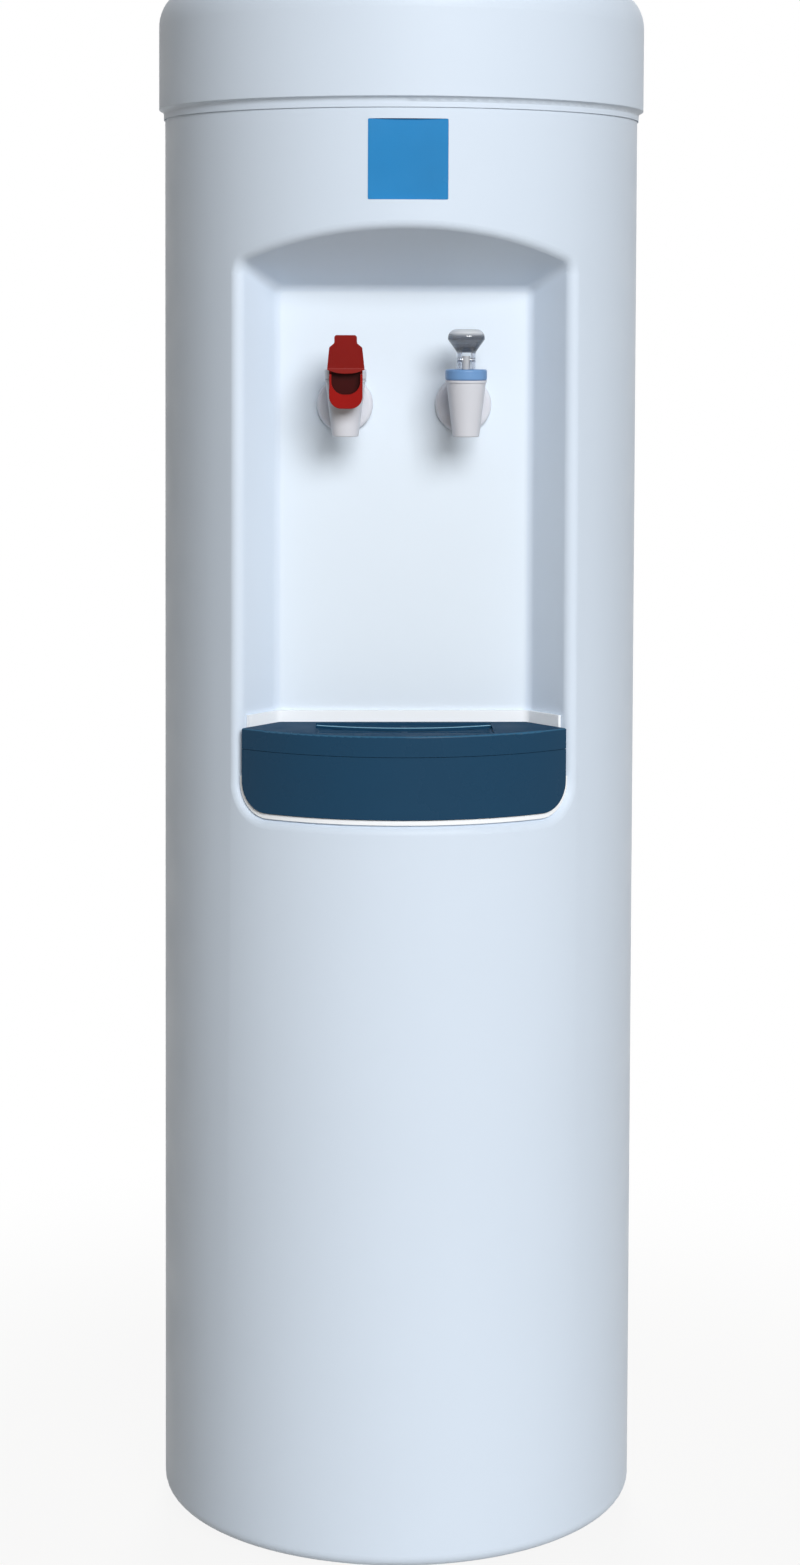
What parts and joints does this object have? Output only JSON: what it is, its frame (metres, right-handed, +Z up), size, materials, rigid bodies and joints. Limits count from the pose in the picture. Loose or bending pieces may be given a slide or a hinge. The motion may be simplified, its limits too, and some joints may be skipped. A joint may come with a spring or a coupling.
{
  "type": "water cooler",
  "caption": "Floor-standing round water cooler fed by an upturned bottle, with hot and cold push-back taps over a slide-out drip tray in a front recess.",
  "frame": {"origin": "on the floor under the middle of the round cabinet", "axes": "+Z is up, the front with the taps faces -Y, and +X is to the right of a person facing the taps"},
  "size_m": [0.318, 0.318, 1],
  "materials": {
    "white_plastic": "smooth moulded plastic, satin to gloss",
    "badge_blue": "bare printed plate",
    "tray_blue": "dark blue moulded plastic, glossy",
    "hot_red": "red moulded plastic",
    "cold_blue": "blue moulded plastic",
    "clear_plastic": "clear moulded plastic",
    "grey_plastic": "grey moulded plastic",
    "silicone": "milky silicone",
    "black_rubber": "moulded rubber",
    "black_plastic": "black moulded plastic",
    "blue_cap": "blue moulded plastic",
    "foam": "light foam and fibre insulation",
    "stainless": "drawn stainless steel",
    "zinc_steel": "zinc-plated sheet and fasteners",
    "grey_panel": "powder-coated sheet steel",
    "black_metal": "black enamelled steel",
    "copper": "drawn copper"
  },
  "bodies": {
    "cabinet": {"front_shell": "white_plastic", "top_collar": "white_plastic", "funnel_seal": "silicone", "badge_plate": "badge_blue", "tray_cradle": "white_plastic", "hot_faucet_body": "white_plastic", "hot_bonnet": "white_plastic", "hot_spring": "stainless", "cold_faucet_body": "white_plastic", "cold_bonnet": "cold_blue", "cold_spring": "stainless", "tap_rosettes": "white_plastic", "tap_gaskets": "silicone", "tap_nuts": "white_plastic", "tank_shelf": "zinc_steel", "cold_tank": "stainless", "cold_tank_lid": "white_plastic", "separator_baffle": "white_plastic", "evaporator_coil": "copper", "insulation_front": "foam", "insulation_rear": "foam", "cold_hose": "silicone", "hot_hose": "silicone", "feed_hose": "silicone", "hot_tank": "stainless", "hot_tank_jacket": "foam", "hot_tank_shelf": "zinc_steel", "heater_flange": "stainless", "hot_thermostats": "black_plastic", "drain_pipe": "stainless", "base_plate": "zinc_steel", "rubber_feet": "black_rubber", "compressor_shell": "black_metal", "compressor_base": "black_metal", "compressor_grommets": "black_rubber", "compressor_bolts": "zinc_steel", "start_relay_box": "black_plastic", "condenser": "black_metal", "condenser_brackets": "black_plastic", "filter_drier": "copper", "capillary_tube": "copper", "refrigerant_lines": "copper", "back_panel": "grey_panel", "cabinet_screws": "zinc_steel", "hot_switch_frame": "black_plastic", "thermostat_body": "black_plastic", "cord_gland": "black_plastic"},
    "hot_stem": {"hot_stem": "grey_plastic", "hot_lever_pin": "stainless"},
    "hot_lever": {"hot_lever": "hot_red"},
    "hot_catch": {"hot_catch": "hot_red"},
    "cold_stem": {"cold_stem": "grey_plastic", "cold_lever_pin": "stainless"},
    "cold_lever": {"cold_lever": "clear_plastic"},
    "tray": {"drip_basin": "tray_blue"},
    "grille": {"drip_grille": "tray_blue"},
    "funnel": {"bottle_funnel": "white_plastic"},
    "knob": {"thermostat_knob": "black_plastic"},
    "rocker": {"hot_switch_rocker": "hot_red"},
    "drain_cap": {"drain_cap": "blue_cap"}
  },
  "joints": [
    {"name": "hot_stem_lift", "type": "slide", "parent": "cabinet", "child": "hot_stem", "axis": [0, 0, 1], "range_m": [0, 0.0025], "deforming": ["hot_spring"]},
    {"name": "hot_lever_push", "type": "hinge", "parent": "hot_stem", "child": "hot_lever", "pos_m": [-0.0375, -0.123, 0.7595], "axis": [-1, 0, 0], "range_deg": [0, 22], "stiffness_Nm_per_rad": 0.12},
    {"name": "cold_stem_lift", "type": "slide", "parent": "cabinet", "child": "cold_stem", "axis": [0, 0, 1], "range_m": [0, 0.0025], "deforming": ["cold_spring"]},
    {"name": "cold_lever_push", "type": "hinge", "parent": "cold_stem", "child": "cold_lever", "pos_m": [0.0375, -0.123, 0.7595], "axis": [-1, 0, 0], "range_deg": [0, 22], "stiffness_Nm_per_rad": 0.12},
    {"name": "hot_catch_press", "type": "slide", "parent": "cabinet", "child": "hot_catch", "axis": [0, 1, 0], "range_m": [0, 0.0025], "stiffness_N_per_m": 300},
    {"name": "tray_slide", "type": "slide", "parent": "cabinet", "child": "tray", "axis": [0, -1, 0], "range_m": [0, 0.085]},
    {"name": "grille_lift", "type": "slide", "parent": "tray", "child": "grille", "axis": [0, 0, 1], "range_m": [0, 0.06]},
    {"name": "funnel_lift", "type": "slide", "parent": "cabinet", "child": "funnel", "axis": [0, 0, 1], "range_m": [0, 0.12]},
    {"name": "control_turn", "type": "hinge", "parent": "cabinet", "child": "knob", "pos_m": [0.034, 0.12921, 0.6975], "axis": [0, 1, 0], "range_deg": [-135, 135]},
    {"name": "switch_rock", "type": "hinge", "parent": "cabinet", "child": "rocker", "pos_m": [0, 0.12601, 0.6375], "axis": [1, 0, 0], "range_deg": [-8, 8]},
    {"name": "drain_cap_pull", "type": "slide", "parent": "cabinet", "child": "drain_cap", "axis": [0, 1, 0], "range_m": [0, 0.02]}
  ],
  "couplings": [
    {"joint": "hot_stem_lift", "follows": "hot_lever_push", "m_per_rad": 0.006},
    {"joint": "cold_stem_lift", "follows": "cold_lever_push", "m_per_rad": 0.006}
  ]
}
